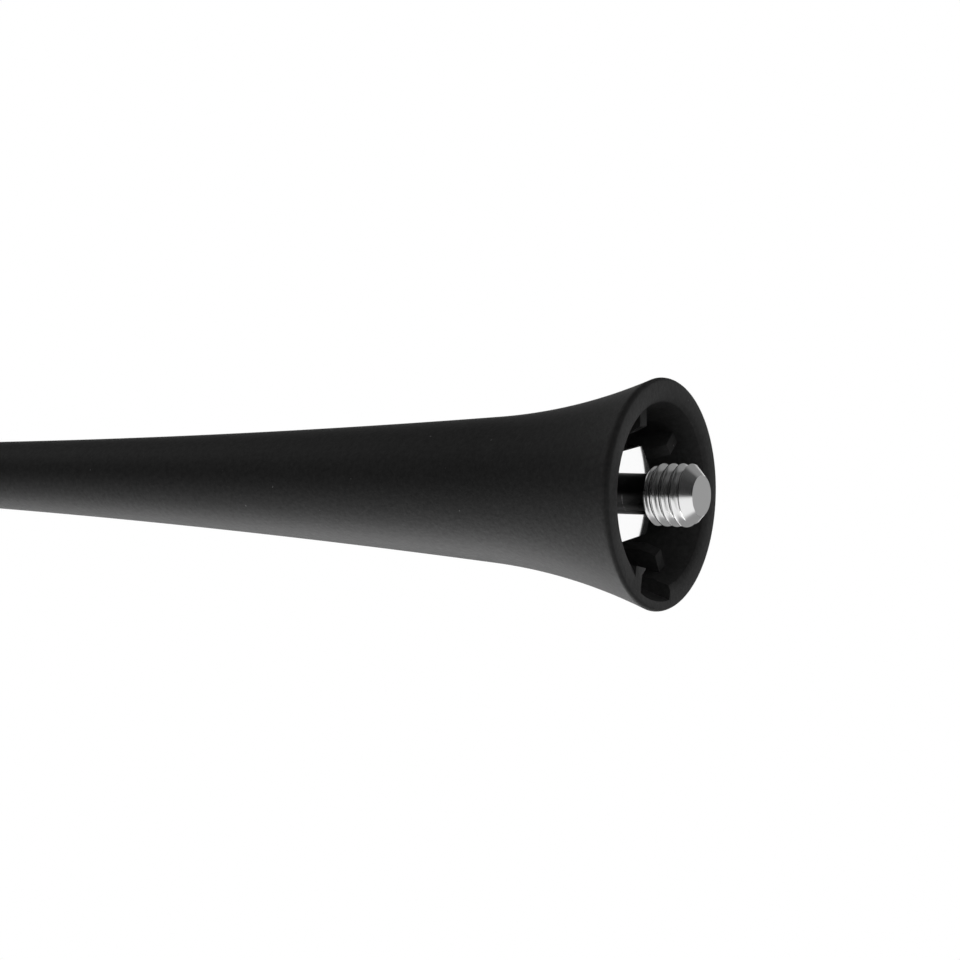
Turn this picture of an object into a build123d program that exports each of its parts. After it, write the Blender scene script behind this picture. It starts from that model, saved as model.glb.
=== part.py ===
# Car roof antenna mast: a moulded rubber mast on a trumpet foot, with a turned M6 ferrule in its cup.
# Millimetres. Z runs up the mast, the rim of the foot lies on Z = 0 and the stud points down.
import os

from build123d import *

os.makedirs("parts", exist_ok=True)

# Outside of the mast: a straight slim top, then arcs that run tangent into each other down to the rim
mast_length = 200.0
tip_radius = 2.5
slim_height = 150.0
slim_radius = 2.65
upper_height = 92.0
upper_radius = 3.48
knee_height = 18.0
knee_radius = 7.16
rim_radius = 11.0
lip_round = 0.4

# Cup inside the foot: a bevelled mouth and a steep wall down to the floor round the hexagon
mouth_radius = 8.75
mouth_bevel = 0.55
mouth_bevel_depth = 0.25
wall_radius = 8.2
wall_depth = 2.0
floor_radius = 7.95
floor_depth = 6.5

# Ribs on the cup's wall at even steps; the place at the notch stays free for the tab
rib_places = 7
rib_start = 39.5
rib_free_place = 3
rib_thickness = 1.3
rib_depth = 2.2
rib_inner = 6.4
rib_toe = 5.7
rib_toe_depth = 3.7

# Relief notch cut into the rim, and the small tab beside it
notch_width = 5.85
notch_inner = 6.25
notch_radius = 10.05
notch_depth = 3.4
notch_slope = 1.05
tab_thickness = 1.25
tab_reach = 7.25
tab_hook = 0.65

# Turned ferrule: M6 stud, neck, hexagon and the grip barrel inside the rubber
stud_radius = 3.0
stud_reach = 3.9
stud_chamfer = 1.1
thread_top = 0.9
neck_radius = 1.95
neck_round = 0.1
hex_face = 3.5
hex_across_flats = 8.7
hex_height = 4.0
hex_turn = 13.0
hex_bevel = 0.12
barrel_radius = 3.5
barrel_height = 14.5
groove_depth = 0.5
groove_width = 1.2
groove_count = 2

# Core rod and the aerial wire wound on it
rod_radius = 1.1
rod_seat = 10.0
rod_top = 190.0
crimp_depth = 3.0
wire_radius = 0.15
winding_top_gap = 6.0

# Clearances: the rubber is moulded on the metal, the rod is glued and the wire lies on it
moulded_gap = 0.02
glue_gap = 0.02
wire_gap = 0.02

# Values that follow from the sizes above
hex_top = hex_face + hex_height
barrel_top = hex_top + barrel_height
winding_outside = rod_radius + wire_gap + 2 * wire_radius
winding_bore = winding_outside + wire_gap
winding_foot = barrel_top - crimp_depth + 2 * wire_radius
winding_top = rod_top - winding_top_gap
groove_step = barrel_height * 0.5 / groove_count
rib_angles = [rib_start + n * 360 / rib_places for n in range(rib_places) if n != rib_free_place]
groove_foot = [hex_top + 1.8 + n * groove_step for n in range(groove_count)]

# Turned ferrule
with BuildPart() as threaded_ferrule:
    with BuildSketch(Plane.XY.offset(hex_face)):
        RegularPolygon(hex_across_flats / 2, 6, major_radius=False, rotation=hex_turn)
    extrude(amount=hex_height)
    chamfer(threaded_ferrule.edges().filter_by(Axis.Z, reverse=True), hex_bevel)
    # stud and neck
    with BuildSketch(Plane.XZ):
        with BuildLine():
            Polyline(
                (0, hex_face + 0.5),
                (0, -stud_reach),
                (stud_radius - stud_chamfer, -stud_reach),
                (stud_radius, stud_chamfer - stud_reach),
                (stud_radius, thread_top - 0.5),
                (stud_radius - 0.5, thread_top),
                (neck_radius, thread_top),
                (neck_radius, hex_face - neck_round),
                (neck_radius + neck_round, hex_face),
                (neck_radius + neck_round, hex_face + 0.5),
                close=True,
            )
        make_face()
    revolve(axis=Axis.Z)
    # grip barrel, with its rod socket and the wider mouth for the lowest turns of wire
    with BuildSketch(Plane.XY.offset(hex_top)):
        Circle(barrel_radius)
    extrude(amount=barrel_height)
    for groove_z in groove_foot:
        with BuildSketch(Plane.XY.offset(groove_z)):
            Circle(barrel_radius + 0.5)
            Circle(barrel_radius - groove_depth, mode=Mode.SUBTRACT)
        extrude(amount=groove_width, mode=Mode.SUBTRACT)
    with BuildSketch(Plane.XY.offset(rod_seat)):
        Circle(rod_radius + glue_gap)
    extrude(amount=barrel_top - rod_seat, mode=Mode.SUBTRACT)
    with BuildSketch(Plane.XY.offset(barrel_top - crimp_depth)):
        Circle(winding_bore)
    extrude(amount=crimp_depth, mode=Mode.SUBTRACT)

# Core rod
with BuildPart() as core_rod:
    with BuildSketch(Plane.XY.offset(rod_seat)):
        Circle(rod_radius)
    extrude(amount=rod_top - rod_seat)

# Aerial wire: the closed outer shape of its turns, which lie side by side on the rod
with BuildPart() as aerial_winding:
    with BuildSketch(Plane.XY.offset(winding_foot)):
        Circle(winding_outside)
        Circle(rod_radius + wire_gap, mode=Mode.SUBTRACT)
    extrude(amount=winding_top - winding_foot)

# Cutter for the notch: a cone that follows the flare, cut to a slot of even width
with BuildPart() as notch_cutter:
    with BuildSketch(Plane.XZ):
        with BuildLine():
            Polyline(
                (notch_inner, -0.5),
                (notch_radius, -0.5),
                (notch_radius, 0),
                (notch_radius - notch_slope, notch_depth),
                (notch_inner, notch_depth),
                close=True,
            )
        make_face()
    revolve(axis=Axis.Z)
    with Locations((-rim_radius, 0, 0)):
        Box(2 * rim_radius, notch_width, 4 * notch_depth, mode=Mode.INTERSECT)

# One rib: a fin whose flat end faces the mouth and whose inner edge slopes towards the hexagon
with BuildPart() as cup_rib:
    with BuildSketch(Plane.XZ):
        with BuildLine():
            Polyline(
                (wall_radius + 0.4, rib_depth),
                (rib_inner, rib_depth),
                (rib_toe, rib_toe_depth),
                (rib_toe, floor_depth + 0.1),
                (wall_radius + 0.4, floor_depth + 0.1),
                close=True,
            )
        make_face()
    extrude(amount=rib_thickness / 2, both=True)

# Moulded mast with its foot and cup
with BuildPart() as mast_cover:
    with BuildSketch(Plane.XZ):
        with BuildLine():
            top = Line((tip_radius, mast_length - tip_radius), (slim_radius, slim_height))
            slim = TangentArc(top @ 1, (upper_radius, upper_height), tangent=top % 1)
            shaft = TangentArc(slim @ 1, (knee_radius, knee_height), tangent=slim % 1)
            foot = TangentArc(shaft @ 1, (rim_radius, lip_round), tangent=shaft % 1)
            RadiusArc(top @ 0, (0, mast_length), -tip_radius)
            Line((0, mast_length), (0, 0))
            Line((0, 0), (rim_radius - lip_round, 0))
            RadiusArc((rim_radius - lip_round, 0), foot @ 1, -lip_round)
        make_face()
    revolve(axis=Axis.Z)
    # cup, cut with its bevelled mouth, then the ribs on its wall
    with BuildSketch(Plane.XZ):
        with BuildLine():
            Polyline(
                (0, -0.5),
                (mouth_radius + mouth_bevel, -0.5),
                (mouth_radius + mouth_bevel, 0),
                (mouth_radius, mouth_bevel_depth),
                (wall_radius, wall_depth),
                (floor_radius, floor_depth),
                (0, floor_depth),
                close=True,
            )
        make_face()
    revolve(axis=Axis.Z, mode=Mode.SUBTRACT)
    for rib_angle in rib_angles:
        add(cup_rib.part.rotate(Axis.Z, rib_angle))
    add(notch_cutter.part, mode=Mode.SUBTRACT)
    # small hooked tab that stands at one side of the notch, level with the rim
    with BuildSketch(Plane.XY):
        with BuildLine():
            Polyline(
                (-mouth_radius - 0.25, -notch_width / 2 - tab_thickness),
                (-tab_reach, -notch_width / 2 - tab_thickness),
                (-tab_reach, -notch_width / 2 + tab_hook),
                (-tab_reach - 0.75, -notch_width / 2),
                (-mouth_radius - 0.25, -notch_width / 2),
                close=True,
            )
        make_face()
    extrude(amount=notch_depth + 0.4)
    # seat of the hexagon and the barrel, with the rubber gripping in the grooves
    with BuildSketch(Plane.XY.offset(floor_depth - 0.1)):
        RegularPolygon(hex_across_flats / 2 + moulded_gap, 6, major_radius=False, rotation=hex_turn)
    extrude(amount=hex_top + moulded_gap - floor_depth + 0.1, mode=Mode.SUBTRACT)
    with BuildSketch(Plane.XY.offset(hex_top)):
        Circle(barrel_radius + moulded_gap)
    extrude(amount=barrel_height + moulded_gap, mode=Mode.SUBTRACT)
    for groove_z in groove_foot:
        with BuildSketch(Plane.XY.offset(groove_z + moulded_gap)):
            Circle(barrel_radius + 0.2)
            Circle(barrel_radius - groove_depth + moulded_gap, mode=Mode.SUBTRACT)
        extrude(amount=groove_width - 2 * moulded_gap)
    # channel of the wound rod, and the narrow end that holds the rod's top
    with BuildSketch(Plane.XY.offset(barrel_top)):
        Circle(winding_bore)
    extrude(amount=winding_top + 1.0 - barrel_top, mode=Mode.SUBTRACT)
    with BuildSketch(Plane.XY.offset(winding_top)):
        Circle(rod_radius + moulded_gap)
    extrude(amount=rod_top + moulded_gap - winding_top, mode=Mode.SUBTRACT)

threaded_ferrule.part.label = "threaded_ferrule"
core_rod.part.label = "core_rod"
aerial_winding.part.label = "aerial_winding"
mast_cover.part.label = "mast_cover"
export_step(threaded_ferrule.part, "parts/threaded_ferrule.step")
export_step(core_rod.part, "parts/core_rod.step")
export_step(aerial_winding.part, "parts/aerial_winding.step")
export_step(mast_cover.part, "parts/mast_cover.step")
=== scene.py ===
import math

import bmesh
import bpy
from mathutils import Matrix, Vector


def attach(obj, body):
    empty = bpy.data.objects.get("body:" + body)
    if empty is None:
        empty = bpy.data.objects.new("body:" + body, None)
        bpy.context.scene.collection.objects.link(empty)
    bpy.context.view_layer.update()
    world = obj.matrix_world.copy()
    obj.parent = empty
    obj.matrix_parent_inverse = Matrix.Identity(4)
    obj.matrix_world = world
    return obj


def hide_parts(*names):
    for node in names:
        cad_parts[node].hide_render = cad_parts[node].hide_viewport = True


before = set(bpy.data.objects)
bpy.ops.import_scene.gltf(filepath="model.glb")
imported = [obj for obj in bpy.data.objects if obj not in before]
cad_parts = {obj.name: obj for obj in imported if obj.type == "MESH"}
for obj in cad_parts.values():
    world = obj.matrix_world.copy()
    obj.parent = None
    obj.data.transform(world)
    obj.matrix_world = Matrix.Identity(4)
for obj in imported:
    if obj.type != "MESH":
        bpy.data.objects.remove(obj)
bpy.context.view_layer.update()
scene = bpy.context.scene
mm = 0.001
weldDistance = 1e-7  # metres

# sizes that several pieces share, in millimetres
rim = {"radius": 11.0, "lip": 0.4, "mouth": 8.75, "bevel": 0.55, "bevelDepth": 0.25}
cup = {"wall": 8.2, "wallDepth": 2.0, "floor": 7.95, "floorDepth": 6.5}
ferrule = {
    "across": 8.7,
    "turn": 13.0,
    "hexFace": 3.5,
    "hexTop": 7.5,
    "hexBevel": 0.12,
    "neck": 1.95,
    "neckFoot": 0.5,
    "barrel": 3.5,
    "barrelTop": 22.0,
    "crimpDepth": 3.0,
    "rodSeat": 10.0,
    "turns": 360,
    "smoothAngle": 28,
}
channel = {"gap": 0.02, "winding": 1.44, "windingTop": 185.0, "rod": 1.12, "rodTop": 190.02}


def linear(value):
    return value / 12.92 if value <= 0.04045 else ((value + 0.055) / 1.055) ** 2.4


def grey(value, warm=0.0):
    return (linear(value + warm), linear(value), linear(value - warm), 1.0)


def addObject(name, data):
    obj = bpy.data.objects.new(name, data)
    scene.collection.objects.link(obj)
    return obj


def meshFrom(work, name):
    bmesh.ops.recalc_face_normals(work, faces=work.faces)
    mesh = bpy.data.meshes.new(name)
    work.to_mesh(mesh)
    work.free()
    return mesh


def finishMesh(mesh, angle):
    work = bmesh.new()
    work.from_mesh(mesh)
    bmesh.ops.remove_doubles(work, verts=work.verts, dist=weldDistance)
    bmesh.ops.recalc_face_normals(work, faces=work.faces)
    work.to_mesh(mesh)
    work.free()
    mesh.shade_smooth()
    mesh.set_sharp_from_angle(angle=math.radians(angle))


# wall of four-sided faces between two rings of points
def wallBetween(work, low, high):
    for step in range(len(low)):
        nxt = (step + 1) % len(low)
        work.faces.new((low[step], low[nxt], high[nxt], high[step]))


# one ring of points per profile point, with the radius free to vary round the axis
def turned(name, rows, turns, radiusAt=None):
    work = bmesh.new()
    rings = []
    for radius, z, kind in rows:
        if radius < 1e-6:
            rings.append([work.verts.new((0, 0, z * mm))])
            continue
        ring = []
        for step in range(turns):
            angle = 2 * math.pi * step / turns
            r = radiusAt(radius, angle, kind) if radiusAt else radius
            ring.append(work.verts.new((r * mm * math.cos(angle), r * mm * math.sin(angle), z * mm)))
        rings.append(ring)
    for low, high in zip(rings, rings[1:]):
        if len(low) == 1:
            for step in range(turns):
                work.faces.new((low[0], high[(step + 1) % turns], high[step]))
        elif len(high) == 1:
            for step in range(turns):
                work.faces.new((low[step], low[(step + 1) % turns], high[0]))
        else:
            wallBetween(work, low, high)
    return meshFrom(work, name)


# closed solid through layers of points that have the same count; the way an outline runs sets its end faces
def layered(name, layers, counterClockwise=False):
    work = bmesh.new()
    rings = [[work.verts.new((x * mm, y * mm, z * mm)) for x, y, z in layer] for layer in layers]
    turn = -1 if counterClockwise else 1
    work.faces.new(rings[0][::turn])
    work.faces.new(rings[-1][::-turn])
    for low, high in zip(rings, rings[1:]):
        wallBetween(work, low, high)
    return meshFrom(work, name)


def evaluatedMesh(obj):
    bpy.context.view_layer.update()
    depsgraph = bpy.context.evaluated_depsgraph_get()
    return bpy.data.meshes.new_from_object(obj.evaluated_get(depsgraph))


def combine(base, tool, operation):
    step = base.modifiers.new(operation, "BOOLEAN")
    step.object = tool
    step.operation = operation
    step.solver = "EXACT"
    mesh = evaluatedMesh(base)
    base.modifiers.remove(step)
    old = base.data
    base.data = mesh
    bpy.data.meshes.remove(old)
    bpy.data.objects.remove(tool)


# gives a function that adds one Math node to a tree; each input is a number or a socket
def mathIn(tree):
    def add(operation, *values):
        node = tree.nodes.new("ShaderNodeMath")
        node.operation = operation
        for socket, value in zip(node.inputs, values):
            if isinstance(value, (int, float)):
                socket.default_value = value
            else:
                tree.links.new(value, socket)
        return node.outputs[0]
    return add


def newTree(name, inputs):
    group = bpy.data.node_groups.new(name, "GeometryNodeTree")
    group.interface.new_socket("Geometry", in_out="OUTPUT", socket_type="NodeSocketGeometry")
    for label, kind in inputs:
        group.interface.new_socket(label, in_out="INPUT", socket_type="NodeSocket" + kind)
    return group


def endTree(group, given, source):
    nodes, links = group.nodes, group.links
    real = nodes.new("GeometryNodeRealizeInstances")
    paint = nodes.new("GeometryNodeSetMaterial")
    result = nodes.new("NodeGroupOutput")
    links.new(source, real.inputs[0])
    links.new(real.outputs[0], paint.inputs["Geometry"])
    links.new(given.outputs["Material"], paint.inputs["Material"])
    links.new(paint.outputs[0], result.inputs[0])


# runs a tree on an empty holder and gives back its plain mesh
def treeMesh(group, values):
    holder = addObject("holder", bpy.data.meshes.new("holder"))
    step = holder.modifiers.new(group.name, "NODES")
    step.node_group = group
    for item in group.interface.items_tree:
        if item.in_out == "INPUT":
            step[item.identifier] = values[item.name]
    mesh = evaluatedMesh(holder)
    holder.modifiers.remove(step)
    bpy.data.objects.remove(holder)
    return mesh


def newMaterial(name):
    material = bpy.data.materials.new(name)
    material.use_nodes = True
    return material, material.node_tree.nodes, material.node_tree.links


# mottled black rubber with a little dust caught in the grain; each ramp is (position, grey)
rubberLook = {
    "roughness": 0.6,
    "specular": 0.22,
    "grainRoughness": 0.6,
    "mottle": {"scale": 2000.0, "detail": 5.0, "low": (0.3, grey(0.12)), "high": (0.72, grey(0.18))},
    "dust": {"scale": 1500.0, "detail": 1.0, "low": (0.785, (0, 0, 0, 1)), "high": (0.83, (1, 1, 1, 1))},
    "dustColour": grey(0.42),
    "bump": {"scale": 2600.0, "detail": 3.0, "strength": 0.3, "distance": 0.00012},
}


def rubberMaterial():
    material, nodes, links = newMaterial("mastRubber")
    shader = nodes["Principled BSDF"]
    shader.inputs["Roughness"].default_value = rubberLook["roughness"]
    shader.inputs["Specular IOR Level"].default_value = rubberLook["specular"]
    place = nodes.new("ShaderNodeTexCoord")

    def noise(grain):
        node = nodes.new("ShaderNodeTexNoise")
        node.inputs["Scale"].default_value = grain["scale"]
        node.inputs["Detail"].default_value = grain["detail"]
        node.inputs["Roughness"].default_value = rubberLook["grainRoughness"]
        links.new(place.outputs["Object"], node.inputs["Vector"])
        return node.outputs["Fac"]

    def ramp(grain):
        node = nodes.new("ShaderNodeValToRGB")
        for stop, (spot, colour) in zip(node.color_ramp.elements, (grain["low"], grain["high"])):
            stop.position = spot
            stop.color = colour
        links.new(noise(grain), node.inputs[0])
        return node.outputs[0]

    coat = nodes.new("ShaderNodeMix")
    coat.data_type = "RGBA"
    links.new(ramp(rubberLook["dust"]), coat.inputs[0])
    links.new(ramp(rubberLook["mottle"]), coat.inputs[6])
    coat.inputs[7].default_value = rubberLook["dustColour"]
    links.new(coat.outputs[2], shader.inputs["Base Color"])
    bump = nodes.new("ShaderNodeBump")
    bump.inputs["Strength"].default_value = rubberLook["bump"]["strength"]
    bump.inputs["Distance"].default_value = rubberLook["bump"]["distance"]
    links.new(noise(rubberLook["bump"]), bump.inputs["Height"])
    links.new(bump.outputs["Normal"], shader.inputs["Normal"])
    return material


# bright plating, in steps up the ferrule: dull sawn end, satin thread, polished hexagon; the neck's
# near-black colour is painted shade
steelLook = {
    "heights": (-3.895, 0.9, 3.498),
    # the third colour, 0.03, is painted shade on the neck, not a darker finish
    "Base Color": (0.42, 0.82, 0.03, 0.96),
    "Roughness": (0.5, 0.2, 0.3, 0.06),
}


def steelMaterial():
    material, nodes, links = newMaterial("platedSteel")
    shader = nodes["Principled BSDF"]
    shader.inputs["Metallic"].default_value = 1.0
    math2 = mathIn(material.node_tree)
    coords = nodes.new("ShaderNodeTexCoord")
    parts = nodes.new("ShaderNodeSeparateXYZ")
    links.new(coords.outputs["Object"], parts.inputs[0])
    for socket in ("Base Color", "Roughness"):
        levels = steelLook[socket]
        level = levels[0]
        for height, low, high in zip(steelLook["heights"], levels, levels[1:]):
            above = math2("GREATER_THAN", parts.outputs[2], height * mm)
            level = math2("MULTIPLY_ADD", above, high - low, level)
        links.new(level, shader.inputs[socket])
    return material


def plainMaterial(name, colour, roughness, metallic):
    material, nodes, links = newMaterial(name)
    shader = nodes["Principled BSDF"]
    shader.inputs["Base Color"].default_value = colour
    shader.inputs["Roughness"].default_value = roughness
    shader.inputs["Metallic"].default_value = metallic
    return material


rubber = rubberMaterial()
steel = steelMaterial()
print("materials made")

# outline of the mast, from the tip down: a straight top, then arcs that run tangent into each other
mast = {
    "length": 200.0,
    "tip": 2.5,
    "tipSteps": 12,
    "stations": [(2.65, 150.0), (3.48, 92.0), (7.16, 18.0), (11.0, 0.4)],
    "steps": [24, 26, 40, 44],
    "lipSteps": 8,
    "turns": 192,
    "smoothAngle": 40,
}


def mastOutline():
    start = Vector((mast["tip"], mast["length"] - mast["tip"]))
    points = []
    for step in range(mast["tipSteps"]):
        angle = math.pi / 2 * step / mast["tipSteps"]
        points.append((mast["tip"] * math.sin(angle), start.y + mast["tip"] * math.cos(angle)))
    heading = None
    for (radius, height), steps in zip(mast["stations"], mast["steps"]):
        end = Vector((radius, height))
        chord = end - start
        if heading is None:
            points += [tuple(start + chord * step / steps) for step in range(steps)]
            heading = chord.normalized()
        else:
            side = Vector((-heading.y, heading.x))
            bend = 2 * chord.dot(side) / chord.dot(chord)
            centre = start + side / bend
            spread = 2 * math.asin(max(-1.0, min(1.0, chord.length * bend / 2)))
            arm = start - centre
            for step in range(steps):
                turn = Matrix.Rotation(spread * step / steps, 2)
                points.append(tuple(centre + turn @ arm))
            heading = Matrix.Rotation(spread, 2) @ heading
        start = end
    lip = rim["lip"]
    for step in range(mast["lipSteps"] + 1):
        angle = math.pi / 2 * step / mast["lipSteps"]
        points.append((rim["radius"] - lip + lip * math.cos(angle), lip - lip * math.sin(angle)))
    return points


def coverRows():
    gap = channel["gap"]
    corner = ferrule["across"] / 2 / math.cos(math.radians(30)) + gap
    inside = [
        (rim["mouth"] + rim["bevel"], 0.0),
        (rim["mouth"], rim["bevelDepth"]),
        (cup["wall"], cup["wallDepth"]),
        (cup["floor"], cup["floorDepth"]),
        (corner, cup["floorDepth"]),
        (corner, ferrule["hexTop"] + gap),
        (ferrule["barrel"] + gap, ferrule["hexTop"] + gap),
        (ferrule["barrel"] + gap, ferrule["barrelTop"] + gap),
        (channel["winding"], ferrule["barrelTop"] + gap),
        (channel["winding"], channel["windingTop"]),
        (channel["rod"], channel["windingTop"]),
        (channel["rod"], channel["rodTop"]),
        (0.0, channel["rodTop"]),
    ]
    return [(r, z, "round") for r, z in mastOutline() + inside]


# moulded mast: turned body, notch cut in, ribs and tab grown on, then every crisp edge softened
cover = addObject("mastCoverLook", turned("mastCoverLook", coverRows(), mast["turns"]))
notch = {
    "width": 5.85,
    "radius": 10.05,
    "slope": 1.05,
    "depth": 3.4,
    "inner": 6.25,
    "below": 0.5,
    "arcSteps": 12,
}


def notchLayer(z, outer):
    half = notch["width"] / 2
    layer = [(-notch["inner"], half, z), (-notch["inner"], -half, z)]
    start = math.asin(half / outer)
    for step in range(notch["arcSteps"] + 1):
        angle = math.pi + start - 2 * start * step / notch["arcSteps"]
        layer.append((outer * math.cos(angle), outer * math.sin(angle), z))
    return layer


notchLayers = [
    notchLayer(-notch["below"], notch["radius"]),
    notchLayer(0.0, notch["radius"]),
    notchLayer(notch["depth"], notch["radius"] - notch["slope"]),
]
combine(cover, addObject("notch", layered("notch", notchLayers)), "DIFFERENCE")

rib = {
    "places": 7,
    "freePlace": 3,
    "start": 39.5,
    "thickness": 1.3,
    "depth": 2.2,
    "outer": 8.6,
    "inner": 6.4,
    "toe": 5.7,
    "toeDepth": 3.7,
    "sink": 0.05,
}


def ribMesh():
    half = rib["thickness"] / 2
    floor = cup["floorDepth"] + rib["sink"]
    outline = [
        (rib["outer"], rib["depth"]),
        (rib["inner"], rib["depth"]),
        (rib["toe"], rib["toeDepth"]),
        (rib["toe"], floor),
        (rib["outer"], floor),
    ]
    return layered("rib", [[(r, y, z) for r, z in outline] for y in (-half, half)])


# one rib set round the axis at even steps, with the place at the notch left free
def ribGroup():
    group = newTree("cupRibs", [
        ("Rib", "Object"),
        ("Places", "Int"),
        ("Free place", "Int"),
        ("Start", "Float"),
        ("Material", "Material"),
    ])
    nodes, links = group.nodes, group.links
    math2 = mathIn(group)
    given = nodes.new("NodeGroupInput")
    spots = nodes.new("GeometryNodePoints")
    links.new(given.outputs["Places"], spots.inputs["Count"])
    shape = nodes.new("GeometryNodeObjectInfo")
    links.new(given.outputs["Rib"], shape.inputs["Object"])
    index = nodes.new("GeometryNodeInputIndex").outputs[0]
    step = math2("DIVIDE", 2 * math.pi, given.outputs["Places"])
    angle = math2("ADD", given.outputs["Start"], math2("MULTIPLY", index, step))
    turn = nodes.new("ShaderNodeCombineXYZ")
    links.new(angle, turn.inputs[2])
    away = math2("ABSOLUTE", math2("SUBTRACT", index, given.outputs["Free place"]))
    place = nodes.new("GeometryNodeInstanceOnPoints")
    links.new(spots.outputs[0], place.inputs["Points"])
    links.new(shape.outputs["Geometry"], place.inputs["Instance"])
    links.new(math2("GREATER_THAN", away, 0.5), place.inputs["Selection"])
    links.new(turn.outputs[0], place.inputs["Rotation"])
    endTree(group, given, place.outputs[0])
    return group


singleRib = addObject("rib", ribMesh())
ribsMesh = treeMesh(ribGroup(), {
    "Rib": singleRib,
    "Places": rib["places"],
    "Free place": rib["freePlace"],
    "Start": math.radians(rib["start"]),
    "Material": rubber,
})
bpy.data.objects.remove(singleRib)
combine(cover, addObject("ribs", ribsMesh), "UNION")
print("ribs grown on the cup")

# small hooked tab at one side of the notch, level with the rim
tab = {"thickness": 1.25, "reach": 7.25, "hook": 0.65, "hookLead": 0.75, "root": 8.85, "depth": 3.8}
edge = -notch["width"] / 2
tabOutline = [
    (-tab["root"], edge - tab["thickness"]),
    (-tab["reach"], edge - tab["thickness"]),
    (-tab["reach"], edge + tab["hook"]),
    (-tab["reach"] - tab["hookLead"], edge),
    (-tab["root"], edge),
]
tabLayers = [[(x, y, z) for x, y in tabOutline] for z in (0.0, tab["depth"])]
combine(cover, addObject("tab", layered("tab", tabLayers, counterClockwise=True)), "UNION")

edgeRound = {"width": 0.1, "segments": 2, "angle": 32}
soften = cover.modifiers.new("soften", "BEVEL")
soften.width = edgeRound["width"] * mm
soften.segments = edgeRound["segments"]
soften.limit_method = "ANGLE"
soften.angle_limit = math.radians(edgeRound["angle"])
soften.use_clamp_overlap = True
softMesh = evaluatedMesh(cover)
cover.modifiers.clear()
cover.data = softMesh
finishMesh(cover.data, mast["smoothAngle"])
cover.data.materials.clear()
cover.data.materials.append(rubber)
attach(cover, "root")
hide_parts("mast_cover")
print("mast cover made", len(cover.data.polygons))

# thread: a grid wrapped round the axis, its radius following the helix rule
thread = {
    "pitch": 1.0,
    "crest": 3.0,
    "depth": 0.48,
    "start": -3.9,
    "end": 0.9,
    "chamfer": 1.1,
    "topChamfer": 0.4,
    "lead": 0.38,
    "turns": 144,
    "rows": 260,
    "capShare": 0.03,  # share of the rows that closes each end face
}


def threadGroup():
    sizes = ("Pitch", "Crest radius", "Depth", "Start", "End", "Chamfer", "Top chamfer", "Lead")
    group = newTree("screwThread", [(name, "Float") for name in sizes] + [("Material", "Material")])
    nodes, links = group.nodes, group.links
    math2 = mathIn(group)
    given = nodes.new("NodeGroupInput")
    pitch, crest, depth, start, end, chamfer, topChamfer, lead = (given.outputs[name] for name in sizes)
    cap = thread["capShare"]

    grid = nodes.new("GeometryNodeMeshGrid")
    grid.inputs["Size X"].default_value = 1.0
    grid.inputs["Size Y"].default_value = 1.0
    grid.inputs["Vertices X"].default_value = thread["turns"] + 1
    grid.inputs["Vertices Y"].default_value = thread["rows"]
    position = nodes.new("GeometryNodeInputPosition")
    parts = nodes.new("ShaderNodeSeparateXYZ")
    links.new(position.outputs[0], parts.inputs[0])
    turn = math2("ADD", parts.outputs[0], 0.5)
    along = math2("ADD", parts.outputs[1], 0.5)
    angle = math2("MULTIPLY", turn, 2 * math.pi)
    length = math2("SUBTRACT", end, start)
    # the last rows at each end close the flat end faces
    inner = math2("DIVIDE", math2("SUBTRACT", along, cap), 1 - 2 * cap)
    level = math2("MINIMUM", math2("MAXIMUM", inner, 0.0), 1.0)
    z = math2("ADD", start, math2("MULTIPLY", level, length))
    over = math2("MAXIMUM", math2("SUBTRACT", cap, along), math2("SUBTRACT", along, 1 - cap))
    closing = math2("MAXIMUM", math2("DIVIDE", over, cap), 0.0)
    # rolled thread: crest and root are rounded into each other
    climb = math2("SUBTRACT", math2("DIVIDE", z, pitch), turn)
    phase = math2("FRACT", math2("ADD", climb, lead))
    wave = math2("COSINE", math2("MULTIPLY", phase, 2 * math.pi))
    flank = math2("MULTIPLY", math2("ADD", wave, 1.0), 0.5)
    radius = math2("SUBTRACT", crest, math2("MULTIPLY", flank, depth))
    fromStart = math2("SUBTRACT", z, start)
    fromEnd = math2("SUBTRACT", end, z)
    endCone = math2("ADD", math2("SUBTRACT", crest, chamfer), fromStart)
    topCone = math2("ADD", math2("SUBTRACT", crest, topChamfer), fromEnd)
    shaped = math2("MINIMUM", radius, math2("MINIMUM", endCone, topCone))
    closed = math2("MULTIPLY", shaped, math2("SUBTRACT", 1.0, closing))
    join = nodes.new("ShaderNodeCombineXYZ")
    links.new(math2("MULTIPLY", closed, math2("COSINE", angle)), join.inputs[0])
    links.new(math2("MULTIPLY", closed, math2("SINE", angle)), join.inputs[1])
    links.new(z, join.inputs[2])
    move = nodes.new("GeometryNodeSetPosition")
    links.new(grid.outputs["Mesh"], move.inputs["Geometry"])
    links.new(join.outputs[0], move.inputs["Position"])
    weld = nodes.new("GeometryNodeMergeByDistance")
    weld.inputs["Distance"].default_value = weldDistance
    links.new(move.outputs[0], weld.inputs["Geometry"])
    endTree(group, given, weld.outputs[0])
    return group


threadMesh = treeMesh(threadGroup(), {
    "Pitch": thread["pitch"] * mm,
    "Crest radius": thread["crest"] * mm,
    "Depth": thread["depth"] * mm,
    "Start": thread["start"] * mm,
    "End": thread["end"] * mm,
    "Chamfer": thread["chamfer"] * mm,
    "Top chamfer": thread["topChamfer"] * mm,
    "Lead": thread["lead"],
    "Material": steel,
})


# turned ferrule: barrel, hexagon with turned bevels and neck, then the thread joined on
def hexRadius(radius, angle, kind):
    if kind != "hex":
        return radius
    local = (math.degrees(angle) - ferrule["turn"]) % 60 - 30
    return radius / math.cos(math.radians(local))


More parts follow.
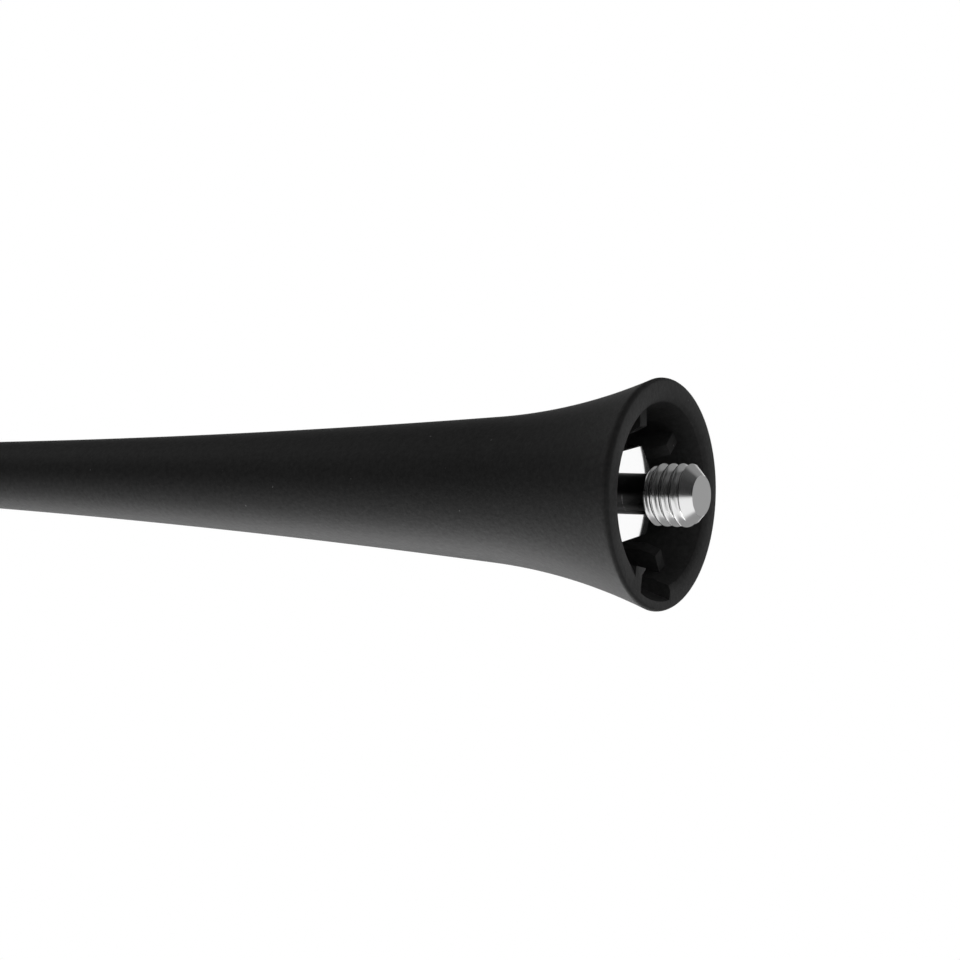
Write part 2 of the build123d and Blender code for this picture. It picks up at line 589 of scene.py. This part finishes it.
def ferruleRows():
    flat = ferrule["across"] / 2
    bevel = ferrule["hexBevel"]
    face, top = ferrule["hexFace"], ferrule["hexTop"]
    barrelTop = ferrule["barrelTop"]
    crimpFloor = barrelTop - ferrule["crimpDepth"]
    return [
        (0.0, ferrule["neckFoot"], "round"),
        (ferrule["neck"], ferrule["neckFoot"], "round"),
        (ferrule["neck"], face, "round"),
        (flat - bevel, face, "hex"),
        (flat, face + bevel, "hex"),
        (flat, top - bevel, "hex"),
        (flat - bevel, top, "hex"),
        (ferrule["barrel"], top, "round"),
        (ferrule["barrel"], barrelTop, "round"),
        (channel["winding"], barrelTop, "round"),
        (channel["winding"], crimpFloor, "round"),
        (channel["rod"], crimpFloor, "round"),
        (channel["rod"], ferrule["rodSeat"], "round"),
        (0.0, ferrule["rodSeat"], "round"),
    ]


bodyMesh = turned("threadedFerruleLook", ferruleRows(), ferrule["turns"], hexRadius)
ferruleLook = addObject("threadedFerruleLook", bodyMesh)
combine(ferruleLook, addObject("thread", threadMesh), "UNION")
finishMesh(ferruleLook.data, ferrule["smoothAngle"])
ferruleLook.data.materials.clear()
ferruleLook.data.materials.append(steel)
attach(ferruleLook, "root")
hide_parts("threaded_ferrule")
print("ferrule made", len(ferruleLook.data.polygons))

# inner pieces keep their solids
innerLooks = {
    "core_rod": plainMaterial("glassFibre", grey(0.86, 0.02), 0.35, 0.0),
    "aerial_winding": plainMaterial("copperWire", (0.72, 0.28, 0.12, 1.0), 0.3, 1.0),
}
for node, material in innerLooks.items():
    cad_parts[node].data.materials.clear()
    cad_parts[node].data.materials.append(material)
print("inner pieces painted")

# camera: the mouth looks along -Z, so the camera stands below the rim and lies on its side
view = {
    "angle": 62.21,
    "turn": -7.7,
    "roll": 1.687,
    "distance": 235.565,
    "aimRight": -17.403,
    "aimUp": 0.8725,
    "focalPixels": 2502.78,
    "framePixels": 960,
    "sensor": 36.0,
    "clip": (0.005, 20.0),
}
mouthWay = Vector((0, 0, -1))


def placeCamera():
    theta = math.radians(view["angle"])
    spin = Matrix.Rotation(math.radians(view["turn"]), 3, "Z")
    away = spin @ Vector((0, 1, 0))
    up = spin @ Vector((1, 0, 0))
    spot = (mouthWay * math.cos(theta) - away * math.sin(theta)) * view["distance"] * mm
    side = mouthWay * math.sin(theta) + away * math.cos(theta)
    aim = (side * view["aimRight"] + up * view["aimUp"]) * mm
    look = (aim - spot).normalized()
    right = look.cross(up).normalized()
    top = right.cross(look)
    roll = math.radians(view["roll"])
    camRight = right * math.cos(roll) + top * math.sin(roll)
    camTop = top * math.cos(roll) - right * math.sin(roll)
    data = bpy.data.cameras.new("camera")
    data.sensor_width = view["sensor"]
    data.lens = view["focalPixels"] / view["framePixels"] * view["sensor"]
    data.clip_start, data.clip_end = view["clip"]
    camera = addObject("camera", data)
    basis = Matrix((camRight, camTop, -look)).transposed().to_4x4()
    camera.matrix_world = Matrix.Translation(spot) @ basis
    scene.camera = camera
    return look, camRight, camTop


look, camRight, camTop = placeCamera()

# soft studio light; a place is given from the main camera's side as right, up and towards the camera
lamps = {
    "lowSoftbox": {"place": (-0.2, -0.5, -0.2), "size": (0.6, 0.4), "watts": 3.8},
    "leftFill": {"place": (-0.3, 0.25, -0.1), "size": (0.2, 0.2), "watts": 0.14},
    "backFill": {"place": (-0.42, 0.0, -0.6), "size": (0.3, 0.3), "watts": 5.0},
}
for name, lampSet in lamps.items():
    data = bpy.data.lights.new(name, "AREA")
    data.shape = "RECTANGLE"
    data.size, data.size_y = lampSet["size"]
    data.energy = lampSet["watts"]
    lamp = addObject(name, data)
    right, up, back = lampSet["place"]
    lamp.location = camRight * right + camTop * up - look * back
    lamp.rotation_mode = "QUATERNION"
    lamp.rotation_quaternion = (-lamp.location).to_track_quat("-Z", "Y")

# pale floor: the camera sees it with its shadows, and the studio's light passes through it
floorLook = {"half": 3.0, "height": -0.2, "colour": (0.9, 0.9, 0.9, 1.0), "glow": 0.7}


def floorMaterial():
    material, nodes, links = newMaterial("paleFloor")
    nodes.remove(nodes["Principled BSDF"])
    matte = nodes.new("ShaderNodeBsdfDiffuse")
    matte.inputs["Color"].default_value = floorLook["colour"]
    glow = nodes.new("ShaderNodeEmission")
    glow.inputs["Strength"].default_value = floorLook["glow"]
    both = nodes.new("ShaderNodeAddShader")
    clear = nodes.new("ShaderNodeBsdfTransparent")
    pick = nodes.new("ShaderNodeMixShader")
    path = nodes.new("ShaderNodeLightPath")
    links.new(matte.outputs[0], both.inputs[0])
    links.new(glow.outputs[0], both.inputs[1])
    links.new(path.outputs["Is Camera Ray"], pick.inputs[0])
    links.new(clear.outputs[0], pick.inputs[1])
    links.new(both.outputs[0], pick.inputs[2])
    links.new(pick.outputs[0], nodes["Material Output"].inputs["Surface"])
    return material


half, height = floorLook["half"], floorLook["height"]
corners = [(x * half, y * half, height) for x, y in ((-1, -1), (1, -1), (1, 1), (-1, 1))]
floorMesh = bpy.data.meshes.new("floor")
floorMesh.from_pydata(corners, [], [(0, 1, 2, 3)])
floorMesh.materials.append(floorMaterial())
floor = addObject("floor", floorMesh)

# surroundings: a white table below the main view, a white backdrop beyond it, and a dim room
# each entry: the two cosines between which the level changes, then the level at each
room = {
    "table": (0.15, 0.6, 0.03, 1.0),
    "tableAtMouth": (0.0, 0.5, 1.0, 0.3),
    "tableBeyond": (-0.7, 0.1, 0.4, 1.0),
    "front": (0.65, 1.0, 0.03, 1.15),
    "above": (0.6, 1.0, 0.03, 0.12),
    "backdrop": (0.25, 0.6, 0.0, 1.0),
    "backdropTop": (0.1, 0.4, 1.0, 0.27),
    "backdropFoot": (0.15, 0.3, 1.0, 0.3),
    "nearTable": (0.05, 0.15, 0.0, 1.0),
    "nearTableBeyond": (0.05, 0.35, 1.0, 0.3),
    "aboveMirrored": (0.6, 1.0, 0.01, 0.12),
}
# how far the far side leans to the mouth, and what the front light's direction is made of
lean = {"farToMouth": 0.47, "frontToMouth": 0.75, "frontUp": 0.6, "frontFar": -0.2}


def setWorld():
    world = bpy.data.worlds.new("studio")
    scene.world = world
    world.use_nodes = True
    nodes, links = world.node_tree.nodes, world.node_tree.links
    nodes.clear()
    math2 = mathIn(world.node_tree)
    place = nodes.new("ShaderNodeTexCoord")

    def facing(direction, entry):
        dot = nodes.new("ShaderNodeVectorMath")
        dot.operation = "DOT_PRODUCT"
        dot.inputs[1].default_value = direction
        links.new(place.outputs["Generated"], dot.inputs[0])
        ramp = nodes.new("ShaderNodeMapRange")
        ramp.interpolation_type = "SMOOTHSTEP"
        for name, value in zip(("From Min", "From Max", "To Min", "To Max"), room[entry]):
            ramp.inputs[name].default_value = value
        links.new(dot.outputs["Value"], ramp.inputs["Value"])
        return ramp.outputs[0]

    def combined(operation, *levels):
        total = levels[0]
        for level in levels[1:]:
            total = math2(operation, total, level)
        return total

    farWay = (look + mouthWay * lean["farToMouth"]).normalized()  # across the stud, away from the camera
    frontWay = mouthWay * lean["frontToMouth"] + camTop * lean["frontUp"] + farWay * lean["frontFar"]
    # light on matt surfaces
    table = combined(
        "MULTIPLY",
        facing(-camTop, "table"),
        facing(mouthWay, "tableAtMouth"),
        facing(farWay, "tableBeyond"),
    )
    soft = combined("MAXIMUM", table, facing(frontWay.normalized(), "front"), facing(camTop, "above"))
    # what polished metal shows: backdrop, near table, and the room
    backdrop = combined(
        "MULTIPLY",
        facing(farWay, "backdrop"),
        facing(camTop, "backdropTop"),
        facing(-camTop, "backdropFoot"),
    )
    nearTable = combined("MULTIPLY", facing(-camTop, "nearTable"), facing(farWay, "nearTableBeyond"))
    shown = combined("MAXIMUM", backdrop, nearTable, facing(camTop, "aboveMirrored"))
    path = nodes.new("ShaderNodeLightPath")
    mirrored = combined("MAXIMUM", path.outputs["Is Glossy Ray"], path.outputs["Is Transmission Ray"])
    pick = nodes.new("ShaderNodeMix")
    links.new(mirrored, pick.inputs[0])
    links.new(soft, pick.inputs[2])
    links.new(shown, pick.inputs[3])
    studio = nodes.new("ShaderNodeBackground")
    links.new(pick.outputs[0], studio.inputs["Color"])
    plain = nodes.new("ShaderNodeBackground")
    plain.inputs["Color"].default_value = (1.0, 1.0, 1.0, 1.0)
    mix = nodes.new("ShaderNodeMixShader")
    links.new(path.outputs["Is Camera Ray"], mix.inputs[0])
    links.new(studio.outputs[0], mix.inputs[1])
    links.new(plain.outputs[0], mix.inputs[2])
    output = nodes.new("ShaderNodeOutputWorld")
    links.new(mix.outputs[0], output.inputs[0])


setWorld()
scene.view_settings.view_transform = "Standard"
print("stage set")
